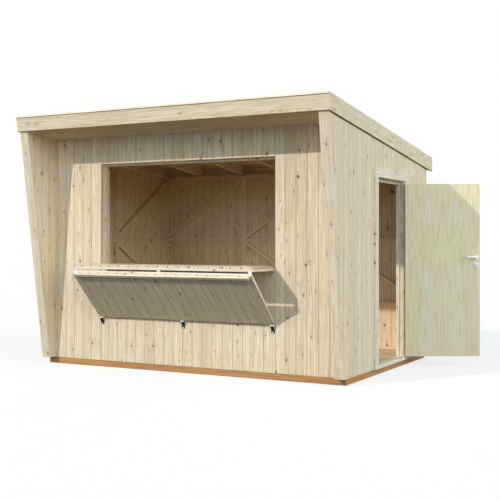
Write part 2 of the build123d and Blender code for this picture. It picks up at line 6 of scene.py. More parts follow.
import bmesh
import bpy
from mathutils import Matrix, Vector

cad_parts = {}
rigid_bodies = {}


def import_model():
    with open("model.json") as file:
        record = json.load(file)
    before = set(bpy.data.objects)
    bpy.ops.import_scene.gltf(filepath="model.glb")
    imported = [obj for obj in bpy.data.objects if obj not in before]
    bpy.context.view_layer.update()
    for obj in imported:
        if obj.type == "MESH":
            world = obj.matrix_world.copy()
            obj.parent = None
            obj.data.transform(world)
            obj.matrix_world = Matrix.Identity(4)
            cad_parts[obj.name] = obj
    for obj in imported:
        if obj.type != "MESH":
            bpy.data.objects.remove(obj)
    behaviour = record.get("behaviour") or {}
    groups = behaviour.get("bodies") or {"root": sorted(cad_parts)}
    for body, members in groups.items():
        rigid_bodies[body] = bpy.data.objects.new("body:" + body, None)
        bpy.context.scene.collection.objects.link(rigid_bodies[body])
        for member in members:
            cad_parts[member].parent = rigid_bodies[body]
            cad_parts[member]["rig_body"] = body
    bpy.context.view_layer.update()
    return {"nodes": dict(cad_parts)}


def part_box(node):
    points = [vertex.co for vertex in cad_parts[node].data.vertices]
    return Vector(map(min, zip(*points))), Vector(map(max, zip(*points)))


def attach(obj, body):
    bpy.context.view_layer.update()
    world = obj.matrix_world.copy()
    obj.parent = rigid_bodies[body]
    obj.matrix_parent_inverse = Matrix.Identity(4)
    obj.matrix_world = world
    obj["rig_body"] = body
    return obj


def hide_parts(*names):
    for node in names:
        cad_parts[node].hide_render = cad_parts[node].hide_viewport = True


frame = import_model()
X, Y, Z = Vector((1, 0, 0)), Vector((0, 1, 0)), Vector((0, 0, 1))

# Boards, in metres: their pitch, one joint on each kind of face, and how their edges are worked.
# A piece without joints counts them as far away.
# A board's side towards the room's middle gets a warmer tone, which is painted warm bounce light of the room.
BOARD_PITCH = 0.1157
FRONT_JOINT_X = -0.0255
SIDE_JOINT_Y = -1.170
ROOF_BOARD_PITCH = 0.121
FLOOR_BOARD_PITCH = 0.138
FLOOR_JOINT_Y = 0.0
NARROWEST_BOARD = 0.016
V_JOINT = 0.002
GROOVE_DEPTH = 0.007
GROOVE_HEIGHT = 0.009
TONGUE_PLAY = 0.0002
TONGUE_INSET = 0.0015
EASED_EDGE = 0.0015
BEAM_EDGE = 0.007
NO_JOINT = 1.0
SAME_POINT = 1e-5
SQUARE_ENOUGH = 0.01
FLAT_ANGLE = math.radians(1.0)
SHARP_ANGLE = math.radians(30.0)
EASE_PROFILE = 0.5
ROOM_MIDDLE = Vector((0.0, 0.0, 1.2))

# Fittings, in metres, with a screw head's outline in shares of its radius
ROUND_STEPS = 16
SCREW_RADIUS = 0.0036
WASHER_RADIUS = 0.0075
SCREW_HEAD = ((1.0, 0.0), (1.0, 0.12), (0.82, 0.28), (0.4, 0.34), (0.34, 0.1))
SCREW_SPREAD = 0.34
WIDEST_STAPLE = 0.03
FOOT_SCREW_RISE = 0.010
LIP_DEPTH = 0.014
KEYHOLE_RADIUS = 0.0036
KEYHOLE_STRETCH = 0.006
KEYHOLE_SINK = 0.0004
EYE_PLACES = (-0.952, 0.928)
EYE_INSET = 0.022
EYE_PLATE = (0.042, 0.016, 0.002)
EYE_RADIUS = 0.008
EYE_LEG = 0.008
EYE_ROD = 0.0024
EYE_SCREW_PLACE = 0.0145


# Geometry

def solids(node):
    """Separate solids of a CAD node, each as a mesh with whole flat faces."""
    source = bmesh.new()
    source.from_mesh(frame["nodes"][node].data)
    bmesh.ops.remove_doubles(source, verts=source.verts[:], dist=SAME_POINT)
    bmesh.ops.dissolve_limit(source, angle_limit=FLAT_ANGLE, verts=source.verts[:], edges=source.edges[:])
    source.verts.index_update()
    source.faces.index_update()
    source.faces.ensure_lookup_table()
    seen = [False] * len(source.faces)
    found = []
    for first in range(len(seen)):
        if seen[first]:
            continue
        seen[first] = True
        island, waiting = [], [source.faces[first]]
        while waiting:
            face = waiting.pop()
            island.append(face)
            for edge in face.edges:
                for other in edge.link_faces:
                    if not seen[other.index]:
                        seen[other.index] = True
                        waiting.append(other)
        solid, places = bmesh.new(), {}
        for face in island:
            for vert in face.verts:
                if vert.index not in places:
                    places[vert.index] = solid.verts.new(vert.co)
            solid.faces.new([places[vert.index] for vert in face.verts])
        solid.normal_update()
        found.append(solid)
    source.free()
    return found


def span(piece, axis):
    """Lowest and highest place of a mesh along a direction."""
    places = [vert.co.dot(axis) for vert in piece.verts]
    return min(places), max(places)


def longest_edge(piece, square_to=None):
    """Direction of the longest edge, or of the longest one square to a direction."""
    best = Vector()
    for edge in piece.edges:
        run = edge.verts[1].co - edge.verts[0].co
        if square_to is not None and abs(run.dot(square_to)) > SQUARE_ENOUGH * run.length:
            continue
        if run.length > best.length + SAME_POINT:
            best = run
    return best.normalized()


def widest_face(faces, along):
    """Largest face that lies along a direction."""
    lying = [face for face in faces if abs(face.normal.dot(along)) < SQUARE_ENOUGH]
    return max(lying, key=lambda face: face.calc_area())


def keep_side(piece, axis, place, above):
    """Saw a mesh at a place along a direction and close the cut."""
    geometry = piece.verts[:] + piece.edges[:] + piece.faces[:]
    bmesh.ops.bisect_plane(piece, geom=geometry, dist=SAME_POINT, plane_co=axis * place, plane_no=axis,
                           clear_inner=above, clear_outer=not above)
    rim = [edge for edge in piece.edges if edge.is_boundary]
    bmesh.ops.holes_fill(piece, edges=rim)


def joints(low, high, pitch, joint):
    """Places of the board joints between two ends."""
    first = math.ceil((low + NARROWEST_BOARD - joint) / pitch)
    last = math.floor((high - NARROWEST_BOARD - joint) / pitch)
    return [joint + step * pitch for step in range(first, last + 1)]


def sawn(solid, across, pitch, joint):
    """Boards that a slab divides into, side by side along a direction."""
    cuts = joints(*span(solid, across), pitch, joint)
    boards = []
    for start, end in zip([None, *cuts], [*cuts, None]):
        board = solid.copy()
        if start is not None:
            keep_side(board, across, start, True)
        if end is not None:
            keep_side(board, across, end, False)
        boards.append(board)
    return boards


def ease(piece, width, steps=2, along=None):
    """Take the sharpness off all edges, or off those that run along one direction."""
    edges = []
    for edge in piece.edges:
        run = (edge.verts[1].co - edge.verts[0].co).normalized()
        if along is not None and abs(run.dot(along)) < 1 - SQUARE_ENOUGH:
            continue
        if len(edge.link_faces) == 2 and edge.calc_face_angle() > SHARP_ANGLE:
            edges.append(edge)
    bmesh.ops.bevel(piece, geom=edges, offset=width, offset_type="OFFSET", segments=steps,
                    profile=EASE_PROFILE, affect="EDGES", clamp_overlap=True)


def skin(rings):
    """Closed mesh over rings of points that follow each other."""
    piece = bmesh.new()
    loops = [[piece.verts.new(point) for point in row] for row in rings]
    for first, second in zip(loops[:-1], loops[1:]):
        for step in range(len(first)):
            after = (step + 1) % len(first)
            piece.faces.new((first[step], first[after], second[after], second[step]))
    piece.faces.new(loops[0])
    piece.faces.new(loops[-1])
    return piece


def ring(middle, first, second, radius, stretch=0.0):
    """Points of a circle, or of two half circles that are drawn apart along the first direction."""
    points = []
    for step in range(ROUND_STEPS):
        turn = math.tau * (step + 0.5) / ROUND_STEPS
        out = radius * math.cos(turn) + math.copysign(stretch, math.cos(turn))
        points.append(middle + out * first + radius * math.sin(turn) * second)
    return points


def screw(middle, outward, along, radius):
    """Low round screw head with a hollow in its middle."""
    side = outward.cross(along)
    rings = []
    for share, rise in SCREW_HEAD:
        rings.append(ring(middle + rise * radius * outward, along, side, share * radius))
    return skin(rings)


class Pile:
    """Collects pieces into one mesh, with each piece's own grain coordinates."""

    def __init__(self, seed):
        self.random = random.Random(seed)
        self.points, self.faces = [], []
        self.grain, self.own, self.half, self.inside = [], [], [], []

    def add(self, piece, along, across, half=NO_JOINT, painted_room_light=False):
        """Put a piece on the pile, with its grain along one direction and its face across another.

        Half is the distance from its middle to its joints, and a piece with painted room light has one side
        in the room, which the material paints warmer as warm bounce light.
        """
        bmesh.ops.recalc_face_normals(piece, faces=piece.faces[:])
        axes = (along, across, along.cross(across).normalized())
        middle = Vector([sum(span(piece, axis)) / 2 for axis in axes])
        number = self.random.random()
        inward = axes[2].dot(ROOM_MIDDLE) - middle[2]
        first = len(self.points)
        piece.verts.index_update()
        for vert in piece.verts:
            self.points.append(vert.co[:])
            grain = [vert.co.dot(axis) - place for axis, place in zip(axes, middle)]
            self.grain.append(grain)
            self.inside.append(float(painted_room_light and grain[2] * inward > 0))
            self.own.append(number)
            self.half.append(half)
        for face in piece.faces:
            self.faces.append([first + vert.index for vert in face.verts])
        piece.free()

    def build(self, name, material, body, slot, *nodes, smooth=False):
        """Make the pile an object that rides on a body and stands for the CAD nodes named."""
        mesh = bpy.data.meshes.new(name)
        mesh.from_pydata(self.points, [], self.faces)
        grain = mesh.attributes.new("grain", "FLOAT_VECTOR", "POINT")
        grain.data.foreach_set("vector", [value for row in self.grain for value in row])
        for word, values in (("own", self.own), ("half", self.half), ("inside", self.inside)):
            mesh.attributes.new(word, "FLOAT", "POINT").data.foreach_set("value", values)
        mesh.materials.append(material)
        if smooth:
            mesh.shade_smooth()
            mesh.set_sharp_from_angle(angle=SHARP_ANGLE)
        piece = bpy.data.objects.new(name, mesh)
        bpy.context.scene.collection.objects.link(piece)
        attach(piece, body)
        if nodes:
            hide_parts(*nodes)


def body_of(node):
    """Body that a CAD node belongs to."""
    return frame["nodes"][node]["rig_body"]


def boarding(node, material, across, joint, pitch, along, painted_room_light=True):
    """Divide a node's slabs into boards with V-joints, with or without painted warm bounce light on the side
    towards the room.
    """
    pile = Pile(node)
    for solid in solids(node):
        for board in sawn(solid, across, pitch, joint):
            low, high = span(board, across)
            ease(board, V_JOINT, 1, along)
            pile.add(board, along, across, (high - low) / 2, painted_room_light)
        solid.free()
    pile.build(node + ".boards", material, body_of(node), "pine_boards", node)


def grooved_boarding(node, material, tongue_material):
    """Divide a leaf's slab into boards with grooved sides, and put a tongue into each joint, whose near-black
    material paints the shade in the groove ends.
    """
    pile, tongues = Pile(node), Pile(node + ".tongues")
    for solid in solids(node):
        along = longest_edge(solid, X)
        through = along.cross(X)
        ends = span(solid, along)
        low, high = span(solid, through)
        left, right = span(solid, X)
        groove = ((low + high - GROOVE_HEIGHT) / 2, (low + high + GROOVE_HEIGHT) / 2)
        steps = ((V_JOINT, low), (0.0, low + V_JOINT), (0.0, groove[0]), (GROOVE_DEPTH, groove[0]),
                 (GROOVE_DEPTH, groove[1]), (0.0, groove[1]), (0.0, high - V_JOINT), (V_JOINT, high))
        cuts = [left, *joints(left, right, BOARD_PITCH, FRONT_JOINT_X), right]
        for start, end in zip(cuts[:-1], cuts[1:]):
            outline = [(start + inset, rise) for inset, rise in steps]
            outline += [(end - inset, rise) for inset, rise in reversed(steps)]
            board = skin([[x * X + rise * through + place * along for x, rise in outline] for place in ends])
            pile.add(board, along, X, (end - start) / 2)
        reach = GROOVE_DEPTH - TONGUE_PLAY
        levels = (groove[0] + TONGUE_PLAY, groove[1] - TONGUE_PLAY)
        for place in cuts[1:-1]:
            outline = [(place - reach, levels[0]), (place + reach, levels[0]),
                       (place + reach, levels[1]), (place - reach, levels[1])]
            stops = (ends[0] + TONGUE_INSET, ends[1] - TONGUE_INSET)
            bar = skin([[x * X + rise * through + stop * along for x, rise in outline] for stop in stops])
            tongues.add(bar, along, X)
        solid.free()
    pile.build(node + ".boards", material, body_of(node), "pine_boards", node)
    tongues.build(node + ".tongues", tongue_material, body_of(node), "pine_boards")


def timbers(node, material, slot="pine_timber", edge=EASED_EDGE):
    """Give each solid of a node eased edges and grain along its length."""
    pile = Pile(node)
    for solid in solids(node):
        along = longest_edge(solid)
        across = along.cross(widest_face(solid.faces, along).normal).normalized()
        ease(solid, edge)
        pile.add(solid, along, across)
    pile.build(node + ".timber", material, body_of(node), slot, node)


def hinge_screws(node, material):
    """Two screws in each hinge plate of a node, on the side where its pin is."""
    pile = Pile(node)
    for solid in solids(node):
        pins = sum((vert.co for vert in solid.verts), Vector()) / len(solid.verts)
        outer = []
        for face in solid.faces:
            if face.normal.dot(pins - face.calc_center_median()) > SAME_POINT:
                outer.append(face)
        plate = max(outer, key=lambda face: face.calc_area())
        outward, along = plate.normal.copy(), longest_edge(solid)
        middle = plate.calc_center_bounds()
        low, high = span(solid, along)
        for share in (-SCREW_SPREAD, SCREW_SPREAD):
            place = middle + share * (high - low) * along
            pile.add(screw(place, outward, along, SCREW_RADIUS), along, outward)
        solid.free()
    pile.build(node + ".screws", material, body_of(node), "galvanised_steel", smooth=True)


def catches(bright, dark):
    """Flap catches: slotted plates with a zinc lip, each over a black staple and screwed at its foot; the
    plate below the lip is near-black as painted shade of the lip and the flap.
    """
    plates, staples, lips, screws = Pile("plates"), Pile("staples"), Pile("lips"), Pile("screws")
    for solid in solids("flap_catches"):
        left, right = span(solid, X)
        if right - left < WIDEST_STAPLE:
            staples.add(solid, X, Z)
            continue
        low, high = span(solid, Z)
        front = max(face.calc_center_median().y for face in solid.faces if face.normal.y < SQUARE_ENOUGH - 1)
        foot = Vector(((left + right) / 2, front, low + FOOT_SCREW_RISE))
        screws.add(screw(foot, -Y, X, WASHER_RADIUS), X, Z)
        lip = solid.copy()
        keep_side(lip, Z, high - LIP_DEPTH, True)
        lips.add(lip, Z, X)
        # The plate below the lip takes the dark material: painted shade of the lip and the flap.
        keep_side(solid, Z, high - LIP_DEPTH, False)
        plates.add(solid, Z, X)
    plates.build("flap_catches.plates", dark, "hut", "galvanised_steel", "flap_catches")
    staples.build("flap_catches.staples", dark, "hut", "galvanised_steel")
    lips.build("flap_catches.lips", bright, "hut", "galvanised_steel")
    screws.build("flap_catches.screws", bright, "hut", "galvanised_steel", smooth=True)


def keyholes(material):
    """Keyholes on the lower roses, on both sides of the door: near-black slits on the roses, painted shade of
    the hole.
    """
    pile = Pile("keyholes")
    low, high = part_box("door_roses")
    leaf_low, leaf_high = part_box("door_leaf")
    leaf = (Vector(leaf_low) + Vector(leaf_high)) / 2
    for solid in solids("door_roses"):
        middle = sum(span(solid, Z)) / 2
        if middle < (low[2] + high[2]) / 2:
            outward = widest_face(solid.faces, Z).normal.copy()
            if sum(span(solid, outward)) / 2 < leaf.dot(outward):
                outward.negate()
            side = Z.cross(outward)
            level = span(solid, outward)[1]
            seat = middle * Z + sum(span(solid, side)) / 2 * side + level * outward
            levels = (seat - KEYHOLE_SINK * outward, seat + KEYHOLE_SINK * outward)
            slit = skin([ring(place, Z, side, KEYHOLE_RADIUS, KEYHOLE_STRETCH) for place in levels])
            pile.add(slit, Z, side)
        solid.free()
    pile.build("door_keyholes", material, "door", "handle_metal")


def eye_plates(material):
    """Small eyes on plates near the counter's front edge, which keep the shut counter in place."""
    pile = Pile("eyes")
    low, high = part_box("counter_leaf")
    length, width, thickness = EYE_PLATE
    for x in EYE_PLACES:
        seat = Vector((x, low[1] + EYE_INSET, high[2]))
        levels = (seat, seat + thickness * Z)
        pile.add(skin([ring(level, X, Y, width / 2, (length - width) / 2) for level in levels]), X, Y)
        top = seat + EYE_LEG * Z
        path = [seat + EYE_RADIUS * X]
        for step in range(ROUND_STEPS + 1):
            turn = math.pi * step / ROUND_STEPS
            path.append(top + EYE_RADIUS * (math.cos(turn) * X + math.sin(turn) * Z))
        path.append(seat - EYE_RADIUS * X)
        rings = []
        for place, point in enumerate(path):
            before, after = path[max(place - 1, 0)], path[min(place + 1, len(path) - 1)]
            rings.append(ring(point, (after - before).normalized().cross(Y), Y, EYE_ROD))
        pile.add(skin(rings), X, Y)
        for side in (-EYE_SCREW_PLACE, EYE_SCREW_PLACE):
            pile.add(screw(levels[1] + side * X, Z, X, SCREW_RADIUS), X, Y)
    pile.build("counter_eyes", material, "counter", "galvanised_steel", smooth=True)


# Materials

class Shader:
    """A material's node tree, with short names for the nodes that it is made of."""

    def __init__(self, name):
        self.material = bpy.data.materials.new(name)
        self.material.use_nodes = True
        self.tree = self.material.node_tree
        self.surface = self.tree.nodes["Principled BSDF"]

    def put(self, socket, value):
        """Link a socket, or set its constant."""
        if isinstance(value, bpy.types.NodeSocket):
            self.tree.links.new(value, socket)
        else:
            socket.default_value = value

    def node(self, kind, inputs, **settings):
        """Add a node with its settings and inputs, by name or by place."""
        node = self.tree.nodes.new(kind)
        for key, value in settings.items():
            setattr(node, key, value)
        for key, value in inputs.items():
            self.put(node.inputs[key], value)
        return node

    def math(self, operation, *values):
        """Result of a sum on numbers."""
        return self.node("ShaderNodeMath", dict(enumerate(values)), operation=operation).outputs[0]

    def vector(self, x=0.0, y=0.0, z=0.0):
        """Three numbers as a vector."""
        return self.node("ShaderNodeCombineXYZ", {0: x, 1: y, 2: z}).outputs[0]

    def parts(self, vector):
        """A vector's three numbers."""
        return self.node("ShaderNodeSeparateXYZ", {0: vector}).outputs

    def length(self, vector):
        """A vector's length."""
        return self.node("ShaderNodeVectorMath", {0: vector}, operation="LENGTH").outputs["Value"]

    def noise(self, vector, stretch, shift=(0, 0, 0), detail=2.0, rough=0.5):
        """Smooth noise between 0 and 1, with so many waves to the metre each way."""
        place = self.node("ShaderNodeVectorMath", {0: vector, 1: stretch, 2: shift}, operation="MULTIPLY_ADD")
        inputs = {"Vector": place.outputs[0], "Scale": 1.0, "Detail": detail, "Roughness": rough}
        return self.node("ShaderNodeTexNoise", inputs).outputs[0]

    def dice(self, vector):
        """Three numbers between 0 and 1 that differ for each vector."""
        return self.parts(self.node("ShaderNodeTexWhiteNoise", {"Vector": vector}).outputs["Color"])

    def fade(self, value, start, end, low=0.0, high=1.0):
        """Smooth step of a number from a low to a high value."""
        inputs = {"Value": value, "From Min": start, "From Max": end, "To Min": low, "To Max": high}
        return self.node("ShaderNodeMapRange", inputs, interpolation_type="SMOOTHSTEP").outputs[0]

    def mix(self, share, first, second):
        """Blend of two colours."""
        inputs = {0: share, 6: first, 7: second}
        return self.node("ShaderNodeMix", inputs, data_type="RGBA").outputs[2]

    def attribute(self, name):
        """A value that the mesh carries."""
        return self.node("ShaderNodeAttribute", {}, attribute_name=name).outputs

    def finish(self, colour, rough, height, strength, distance):
        """Give the surface its colour, roughness and relief."""
        inputs = {"Strength": strength, "Distance": distance, "Height": height}
        self.put(self.surface.inputs["Normal"], self.node("ShaderNodeBump", inputs).outputs[0])
        self.put(self.surface.inputs["Base Color"], colour)
        self.put(self.surface.inputs["Roughness"], rough)
        return self.material


# Wood, in metres, with noise in waves to the metre along, across and through a piece.
# A fade lists where it starts and ends, and then its values there if they aren't 0 and 1.
# Shifts, keys, seats and seeds only keep the random draws of the boards apart.
KNOT_CORE = (0.19, 0.08, 0.03, 1)
KNOT_HALO = (0.46, 0.27, 0.12, 1)
KNOT_PLACES = (0.3, 0.7)
KNOT_SIZES = (0.6, 1.35)
CORE_SQUEEZE = 0.8
CORE_FADE = (1.05, 0.75)
HALO_SQUEEZE = 0.35
HALO_FADE = (2.6, 0.7)
BOARD_SHIFT = 97.0
BOARD_KEY = 613.0
KIND_SHIFT = 0.5

KNOT_SPACING = 0.36
KNOT_RADIUS = 0.0095
KNOT_SHARE = 0.5
KNOT_REACH = 0.046
KNOT_SEED = 3.0
PIN_SPACING = 0.23
PIN_RADIUS = 0.0055
PIN_SHARE = 0.35
PIN_SEED = 8.0
NOISE_SEAT = 91.0
TONE_SEED = 0.31
PITH_SEED = 0.77
PITH_SIDE = 0.05
PITH_DEPTHS = (0.03, 0.11)
DRIFT_WAVES = (0.9, 57.0, 0.0)
DRIFT_REACH = 0.05
RISE_WAVES = (1.3, 83.0, 0.0)
RISE_REACH = 0.06
YEAR_WIDTHS = (0.004, 0.008)
LATE_START = (0.35, 0.9)
LATE_END = (1.0, 0.93)
BROAD_WAVES = (0.35, 13.0, 13.0)
STREAK_WAVES = (1.1, 62.0, 62.0)
THREAD_WAVES = (4.0, 115.0, 115.0)
FINE_WAVES = (5.0, 330.0, 330.0)

STREAK_FADE = (0.40, 0.60)
THREAD_FADE = (0.47, 0.67, 0.0, 0.68)
BROAD_FADE = (0.45, 0.75, 0.0, 0.3)
TONE_FADE = (0.5, 1.0)
TONE_SPREAD = 0.35
LATE_SHARE = 0.45
FINE_FADE = (0.45, 0.75, 0.0, 0.28)
# Painted warm bounce light on a board's side towards the room: its tone and share.
PAINTED_ROOM_LIGHT_TONE = (1.0, 0.80, 0.52, 1)
PAINTED_ROOM_LIGHT_SHARE = 0.34
HALO_SHARE = 0.28
PIN_CORE_SHARE = 0.85
CORE_SHARES = (0.65, 1.0)
JOINT_SHADE = (0.27, 0.14, 0.055, 1)
JOINT_FADE = (0.0036, 0.0008, 0.0, 0.68)
LATE_HEIGHT = 0.6
PINE_GLOSS = 0.2
PINE_ROUGHNESS = (0.2, 0.8, 0.58, 0.76)
PINE_RELIEF = (0.3, 0.0007)

SWELL_WAVES = (0.75, 8.0, 0.0)
SWELL_SHIFT = (2.6, 2.6, 2.6)
SWELL_ARCHES = 9.0
ARCH_START = (0.55, 0.9)
ARCH_SHARE = 0.5
ARCH_HEIGHT = 0.4
BAND_WAVES = (0.07, 8.0, 0.0)
BAND_SHIFT = (9.1, 9.1, 9.1)
BAND_FADE = (0.42, 0.62)
VENEER_WAVES = (2.6, 110.0, 0.0)
VENEER_SHIFT = (4.7, 4.7, 4.7)
VENEER_FADE = (0.42, 0.7, 0.0, 0.5)
PORE_WAVES = (9.0, 420.0, 420.0)
PORE_FADE = (0.5, 0.8, 0.0, 0.3)
LAYER_THICKNESS = 0.0033
LAYER_FADE = (0.0014, 0.0019, 0.0, 0.35)
PLY_GLOSS = 0.3
PLY_ROUGHNESS = (0.2, 0.8, 0.48, 0.64)
PLY_RELIEF = (0.2, 0.0005)

# Metal, whose roughness lies between two shares of the value given for it
SCRATCH_WAVES = (900.0, 900.0, 60.0)
SCRATCH_FADE = (0.25, 0.75)
SMOOTHER = 0.75
ROUGHER = 1.3
METAL_RELIEF = (0.12, 0.0002)


def knots(shader, along, across, own, spacing, reach, radius, share, seed):
    """Knots at random places of each board: the core, the darkened grain round it and the bend it gives."""
    steps = shader.math("DIVIDE", along, spacing)
    place = shader.math("ADD", steps, shader.math("MULTIPLY", own, BOARD_SHIFT))
    cell = shader.math("FLOOR", place)
    key = shader.math("MULTIPLY", own, BOARD_KEY)
    where = shader.dice(shader.vector(cell, key, seed))
    kind = shader.dice(shader.vector(key, cell, seed + KIND_SHIFT))
    middle = shader.fade(where[0], 0, 1, *KNOT_PLACES)
    past = shader.math("SUBTRACT", shader.math("SUBTRACT", place, cell), middle)
    run = shader.math("MULTIPLY", past, spacing)
    side = shader.math("SUBTRACT", across, shader.fade(where[1], 0, 1, -reach, reach))
    size = shader.fade(kind[1], 0, 1, radius * KNOT_SIZES[0], radius * KNOT_SIZES[1])
    there = shader.math("LESS_THAN", kind[0], share)

    def distance(squeeze):
        """Distance from the knot's middle in its own radii, drawn out along the grain."""
        flat = shader.vector(shader.math("MULTIPLY", run, squeeze), side)
        return shader.math("DIVIDE", shader.length(flat), size)

    core = shader.math("MULTIPLY", shader.fade(distance(CORE_SQUEEZE), *CORE_FADE), there)
    halo = shader.math("MULTIPLY", shader.fade(distance(HALO_SQUEEZE), *HALO_FADE), there)
    turn = shader.math("MULTIPLY", shader.math("MULTIPLY", shader.math("SIGN", side), halo), size)
    return core, halo, turn


def pine(name, pale, warm, deep, knot_share=KNOT_SHARE, spread=TONE_SPREAD, reach=KNOT_REACH):
    """Planed pine: streaks, growth rings that bend round knots, dark joints, each board's own tone, and
    painted warm bounce light on the side towards the room.
    """
    shader = Shader(name)
    grain = shader.attribute("grain")["Vector"]
    along, across, through = shader.parts(grain)
    own = shader.attribute("own")["Fac"]
    half = shader.attribute("half")["Fac"]
    inside = shader.attribute("inside")["Fac"]
    seat = shader.math("MULTIPLY", own, NOISE_SEAT)
    tone = shader.dice(shader.vector(own, TONE_SEED))
    pith = shader.dice(shader.vector(own, PITH_SEED))
    core, halo, turn = knots(shader, along, across, own, KNOT_SPACING, reach, KNOT_RADIUS,
                             knot_share, KNOT_SEED)
    pin_core, pin_halo, _ = knots(shader, along, across, own, PIN_SPACING, reach, PIN_RADIUS,
                                  PIN_SHARE, PIN_SEED)

    drift = shader.noise(shader.vector(along, own), DRIFT_WAVES, detail=1.0)
    bend = shader.math("ADD", shader.math("MULTIPLY", drift, DRIFT_REACH), turn)
    aside = shader.math("ADD", across, shader.fade(pith[0], 0, 1, -PITH_SIDE, PITH_SIDE))
    side = shader.math("ADD", aside, bend)
    rise = shader.noise(shader.vector(along, own), RISE_WAVES, detail=1.0)
    level = shader.math("ADD", through, shader.fade(pith[1], 0, 1, *PITH_DEPTHS))
    depth = shader.math("ADD", level, shader.math("MULTIPLY", rise, RISE_REACH))
    radius = shader.length(shader.vector(side, depth))
    year = shader.math("FRACT", shader.math("DIVIDE", radius, shader.fade(pith[2], 0, 1, *YEAR_WIDTHS)))
    late = shader.math("MULTIPLY", shader.fade(year, *LATE_START), shader.fade(year, *LATE_END))

    broad = shader.noise(grain, BROAD_WAVES, seat, detail=1.0)
    streak = shader.noise(grain, STREAK_WAVES, seat)
    thread = shader.noise(grain, THREAD_WAVES, seat)
    fine = shader.noise(grain, FINE_WAVES, seat, detail=3.0, rough=0.6)

    colour = shader.mix(shader.fade(streak, *STREAK_FADE), pale, warm)
    colour = shader.mix(shader.fade(thread, *THREAD_FADE), colour, deep)
    colour = shader.mix(shader.fade(broad, *BROAD_FADE), colour, warm)
    colour = shader.mix(shader.fade(tone[0], *TONE_FADE, 0.0, spread), colour, deep)
    colour = shader.mix(shader.math("MULTIPLY", late, LATE_SHARE), colour, deep)
    colour = shader.mix(shader.fade(fine, *FINE_FADE), colour, deep)
    # Painted warm bounce light on the side towards the room.
    colour = shader.mix(shader.math("MULTIPLY", inside, PAINTED_ROOM_LIGHT_SHARE), colour, PAINTED_ROOM_LIGHT_TONE)
    halos = shader.math("MAXIMUM", halo, pin_halo)
    colour = shader.mix(shader.math("MULTIPLY", halos, HALO_SHARE), colour, KNOT_HALO)
    colour = shader.mix(shader.math("MULTIPLY", pin_core, PIN_CORE_SHARE), colour, KNOT_CORE)
    core_share = shader.fade(tone[1], 0, 1, *CORE_SHARES)
    colour = shader.mix(shader.math("MULTIPLY", core, core_share), colour, KNOT_CORE)
    rim = shader.math("SUBTRACT", half, shader.math("ABSOLUTE", across))
    colour = shader.mix(shader.fade(rim, *JOINT_FADE), colour, JOINT_SHADE)
    hollow = shader.math("SUBTRACT", fine, core)
    height = shader.math("ADD", shader.math("MULTIPLY", late, LATE_HEIGHT), hollow)
    shader.surface.inputs["Specular IOR Level"].default_value = PINE_GLOSS
    return shader.finish(colour, shader.fade(fine, *PINE_ROUGHNESS), height, *PINE_RELIEF)


def plywood(name, pale, cool, deep):
    """Book-matched plywood: fine upright grain with a few tall arches, and layers on the edges."""
    shader = Shader(name)
    grain = shader.attribute("grain")["Vector"]
    along, across, through = shader.parts(grain)
    half = shader.vector(along, shader.math("ABSOLUTE", across))
    swell = shader.noise(half, SWELL_WAVES, SWELL_SHIFT, detail=1.0)
    figure = shader.math("FRACT", shader.math("MULTIPLY", swell, SWELL_ARCHES))
    line = shader.math("MULTIPLY", shader.fade(figure, *ARCH_START), shader.fade(figure, *LATE_END))
    band = shader.noise(half, BAND_WAVES, BAND_SHIFT, detail=1.0)
    streak = shader.noise(half, VENEER_WAVES, VENEER_SHIFT)
    pores = shader.noise(grain, PORE_WAVES)
    layer = shader.math("PINGPONG", through, LAYER_THICKNESS)
    colour = shader.mix(shader.fade(band, *BAND_FADE), pale, cool)
    colour = shader.mix(shader.math("MULTIPLY", line, ARCH_SHARE), colour, deep)
    colour = shader.mix(shader.fade(streak, *VENEER_FADE), colour, deep)
    colour = shader.mix(shader.fade(pores, *PORE_FADE), colour, deep)
    colour = shader.mix(shader.fade(layer, *LAYER_FADE), colour, KNOT_HALO)
    height = shader.math("ADD", pores, shader.math("MULTIPLY", line, ARCH_HEIGHT))
    shader.surface.inputs["Specular IOR Level"].default_value = PLY_GLOSS
    return shader.finish(colour, shader.fade(pores, *PLY_ROUGHNESS), height, *PLY_RELIEF)


def metal(name, light, dark, rough, spangle, bare=1.0):
    """Metal, bare or partly under a satin skin, with a crystal pattern of a given size and fine scratches."""
    shader = Shader(name)
    place = shader.node("ShaderNodeTexCoord", {}).outputs["Object"]
    cells = shader.node("ShaderNodeTexVoronoi", {"Vector": place, "Scale": 1 / spangle}).outputs["Color"]
    scratch = shader.noise(place, SCRATCH_WAVES)
    shader.surface.inputs["Metallic"].default_value = bare
    roughness = shader.fade(scratch, *SCRATCH_FADE, rough * SMOOTHER, rough * ROUGHER)
    colour = shader.mix(shader.parts(cells)[0], light, dark)
    return shader.finish(colour, roughness, scratch, *METAL_RELIEF)


board_pine = pine("board_pine", pale=(0.905, 0.83, 0.67, 1), warm=(0.80, 0.685, 0.495, 1),
                  deep=(0.64, 0.475, 0.285, 1))
frame_pine = pine("frame_pine", pale=(0.885, 0.805, 0.64, 1), warm=(0.785, 0.67, 0.485, 1),
                  deep=(0.63, 0.475, 0.295, 1), spread=0.2)
trim_pine = pine("trim_pine", pale=(0.92, 0.86, 0.73, 1), warm=(0.82, 0.725, 0.565, 1),
                 deep=(0.63, 0.50, 0.345, 1), spread=0.2)
# Pine for the room's timbers, warmer than the boards: painted warm bounce light of the room.
painted_warm_light_pine = pine("painted_warm_light_pine", pale=(0.95, 0.82, 0.61, 1), warm=(0.89, 0.725, 0.50, 1),
                   deep=(0.72, 0.525, 0.32, 1), spread=0.2)
# Calmer pine with fewer knots for the soffit and the flap; its darker colour is painted shade.
calm_painted_shade_pine = pine("calm_painted_shade_pine", pale=(0.79, 0.725, 0.565, 1), warm=(0.71, 0.61, 0.435, 1),
                 deep=(0.59, 0.455, 0.28, 1), knot_share=0.35, spread=0.12)
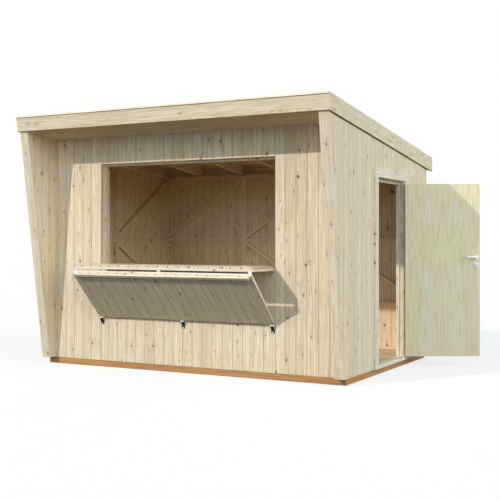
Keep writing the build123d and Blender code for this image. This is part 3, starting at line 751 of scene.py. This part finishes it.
# Near-black tongues: painted shade in the ends of the grooves.
painted_shade_tongue_wood = pine("painted_shade_tongue_wood", pale=(0.12, 0.07, 0.04, 1), warm=(0.10, 0.055, 0.03, 1),
                   deep=(0.07, 0.035, 0.02, 1))
floor_pine = pine("floor_pine", pale=(0.87, 0.695, 0.505, 1), warm=(0.79, 0.605, 0.40, 1),
                  deep=(0.61, 0.425, 0.25, 1))
base_wood = pine("base_wood", pale=(0.64, 0.335, 0.135, 1), warm=(0.54, 0.265, 0.105, 1),
                 deep=(0.36, 0.17, 0.065, 1), knot_share=0.3, reach=0.03)
door_wood = plywood("door_wood", pale=(0.79, 0.70, 0.475, 1), cool=(0.77, 0.735, 0.58, 1),
                    deep=(0.68, 0.53, 0.265, 1))
zinc = metal("zinc", light=(0.78, 0.79, 0.80, 1), dark=(0.60, 0.62, 0.64, 1), rough=0.38, spangle=0.012)
dull_zinc = metal("dull_zinc", light=(0.40, 0.40, 0.38, 1), dark=(0.30, 0.30, 0.29, 1), rough=0.5,
                  spangle=0.012)
chrome = metal("chrome", light=(0.96, 0.96, 0.95, 1), dark=(0.88, 0.88, 0.88, 1), rough=0.2, spangle=0.03,
               bare=0.45)
# Near-black metal: the staples, and painted shade on the catch plates and in the keyholes.
black_and_painted_shade = metal("black_and_painted_shade", light=(0.03, 0.03, 0.03, 1), dark=(0.018, 0.018, 0.02, 1), rough=0.5,
                    spangle=0.02)

# Boarded surfaces
for name in ("front_wall_sides", "front_wall_below", "front_wall_head", "rear_wall"):
    boarding(name, board_pine, X, FRONT_JOINT_X, BOARD_PITCH, Z)
for name in ("left_wall", "right_wall_front", "right_wall_rear", "right_wall_over_door", "wing_linings"):
    boarding(name, board_pine, Y, SIDE_JOINT_Y, BOARD_PITCH, Z)
for name, material, painted_room_light in (("roof_deck", board_pine, True), ("canopy_soffit", calm_painted_shade_pine, False)):
    slope = longest_edge(solids(name)[0], X)
    boarding(name, material, slope, FRONT_JOINT_X, ROOF_BOARD_PITCH, X, painted_room_light)
boarding("floor_boards", floor_pine, Y, FLOOR_JOINT_Y, FLOOR_BOARD_PITCH, X, False)
grooved_boarding("counter_leaf", board_pine, painted_shade_tongue_wood)
grooved_boarding("flap_leaf", calm_painted_shade_pine, painted_shade_tongue_wood)

# Timbers
for name in ("wall_studs", "side_wall_rails", "cross_wall_rails", "wall_braces", "rafters"):
    timbers(name, painted_warm_light_pine)
for name in ("front_fascia", "side_fascias", "rear_fascia", "roof_cross_strips", "roof_side_strips",
             "wing_front_boards", "serving_posts", "serving_head", "serving_sill", "serving_top_stop",
             "serving_side_stops"):
    timbers(name, frame_pine)
for name in ("door_jambs", "door_head", "door_threshold", "door_side_stops", "door_head_stop",
             "door_casing_legs", "door_casing_head", "counter_rails", "counter_stiles", "flap_rails",
             "flap_stiles"):
    timbers(name, trim_pine)
timbers("eaves_blocks", board_pine, "pine_boards")
for name in ("base_cross_beams", "base_side_beams", "floor_joists"):
    timbers(name, base_wood, "base_timber", BEAM_EDGE)
timbers("door_leaf", door_wood, "door_ply")

# Metal fittings
SCREWED_PLATES = ("sill_hinge_plates", "counter_rear_hinges", "counter_front_hinges", "flap_hinges")
for name in SCREWED_PLATES:
    hinge_screws(name, zinc)
for names, material in ((SCREWED_PLATES, zinc), (("door_hinge_leaves", "door_hinge_posts"), dull_zinc),
                        (("door_handles", "door_roses"), chrome)):
    for name in names:
        frame["nodes"][name].data.materials.clear()
        frame["nodes"][name].data.materials.append(material)
catches(zinc, black_and_painted_shade)
eye_plates(zinc)
keyholes(black_and_painted_shade)


# Floor, light and camera: places in metres, and the sensor and the lens in millimetres

FLOOR_SIZE = 400.0
FLOOR_BOUNCE = (0.03, 0.03, 0.03, 1)
FLOOR_ROUGHNESS = 0.9
FLOOR_PALE = (0.93, 0.93, 0.93, 1)
FLOOR_WHITE_SHARE = 0.72
WHITE = (1, 1, 1, 1)
SKY_COLOUR = (0.85, 0.975, 1.0, 1)
SKY_STRENGTH = 0.45
# Each lamp has a name, the direction its light travels in, its strength, its disc in degrees and its colour
LAMPS = (("key", (0.547, 1.0, -0.70), 2.1, 1.2, (1.0, 0.955, 0.90)),
         ("right_fill", (-1.0, 0.2, -0.35), 2.45, 60.0, (0.88, 0.96, 1.0)),
         ("front_fill", (-0.15, 1.0, -0.30), 0.65, 50.0, (0.87, 0.975, 1.0)))
CAMERA_PLACE = (5.0503, -9.1812, 1.3584)
CAMERA_TILT_DEG = 90.0
CAMERA_TURN_DEG = 28.2501
CAMERA_SENSOR = 36.0
CAMERA_LENS = 67.04
CAMERA_SHIFT = -0.0218


def seen_directly(tree):
    """1 for what the camera, a reflection or a clear material shows, and 0 for light on its way."""
    path = tree.nodes.new("ShaderNodeLightPath")
    most = path.outputs["Is Camera Ray"]
    for ray in ("Is Glossy Ray", "Is Transmission Ray"):
        larger = tree.nodes.new("ShaderNodeMath")
        larger.operation = "MAXIMUM"
        tree.links.new(most, larger.inputs[0])
        tree.links.new(path.outputs[ray], larger.inputs[1])
        most = larger.outputs[0]
    return most


def choose(tree, share, first, second):
    """Blend of two shaders."""
    choice = tree.nodes.new("ShaderNodeMixShader")
    if isinstance(share, bpy.types.NodeSocket):
        tree.links.new(share, choice.inputs[0])
    else:
        choice.inputs[0].default_value = share
    tree.links.new(first, choice.inputs[1])
    tree.links.new(second, choice.inputs[2])
    return choice.outputs[0]


def floor():
    """Pale floor that is white where the light reaches it and keeps the hut's shadow."""
    shader = Shader("pale_floor")
    tree = shader.tree
    shader.surface.inputs["Base Color"].default_value = FLOOR_BOUNCE
    shader.surface.inputs["Roughness"].default_value = FLOOR_ROUGHNESS
    shader.surface.inputs["Specular IOR Level"].default_value = 0.0
    white = shader.node("ShaderNodeEmission", {"Color": WHITE, "Strength": 1.0})
    lit = shader.node("ShaderNodeBsdfDiffuse", {"Color": FLOOR_PALE})
    pale = choose(tree, FLOOR_WHITE_SHARE, lit.outputs[0], white.outputs[0])
    shown = choose(tree, seen_directly(tree), shader.surface.outputs[0], pale)
    tree.links.new(shown, tree.nodes["Material Output"].inputs["Surface"])
    bpy.ops.mesh.primitive_plane_add(size=FLOOR_SIZE)
    plane = bpy.context.object
    plane.name = "floor"
    plane.data.materials.append(shader.material)


def sky():
    """Soft light from all round, with a white background."""
    world = bpy.data.worlds.new("sky")
    bpy.context.scene.world = world
    world.use_nodes = True
    tree = world.node_tree
    light = tree.nodes["Background"]
    light.inputs["Color"].default_value = SKY_COLOUR
    light.inputs["Strength"].default_value = SKY_STRENGTH
    white = tree.nodes.new("ShaderNodeBackground")
    white.inputs["Color"].default_value = WHITE
    shown = choose(tree, seen_directly(tree), light.outputs[0], white.outputs[0])
    tree.links.new(shown, tree.nodes["World Output"].inputs["Surface"])


def sun(name, travel, strength, angle, colour):
    """Lamp whose light travels in one direction from a disc of so many degrees."""
    lamp = bpy.data.lights.new(name, "SUN")
    lamp.energy = strength
    lamp.angle = math.radians(angle)
    lamp.color = colour
    holder = bpy.data.objects.new(name, lamp)
    holder.rotation_euler = Vector(travel).to_track_quat("-Z", "Y").to_euler()
    bpy.context.scene.collection.objects.link(holder)


def camera():
    """Level camera with the photograph's place, direction and framing."""
    lens = bpy.data.cameras.new("camera")
    lens.sensor_width = CAMERA_SENSOR
    lens.lens = CAMERA_LENS
    lens.shift_y = CAMERA_SHIFT
    view = bpy.data.objects.new("camera", lens)
    view.location = CAMERA_PLACE
    view.rotation_euler = (math.radians(CAMERA_TILT_DEG), 0.0, math.radians(CAMERA_TURN_DEG))
    bpy.context.scene.collection.objects.link(view)
    bpy.context.scene.camera = view


floor()
sky()
for lamp in LAMPS:
    sun(*lamp)
camera()
bpy.context.scene.view_settings.view_transform = "Standard"
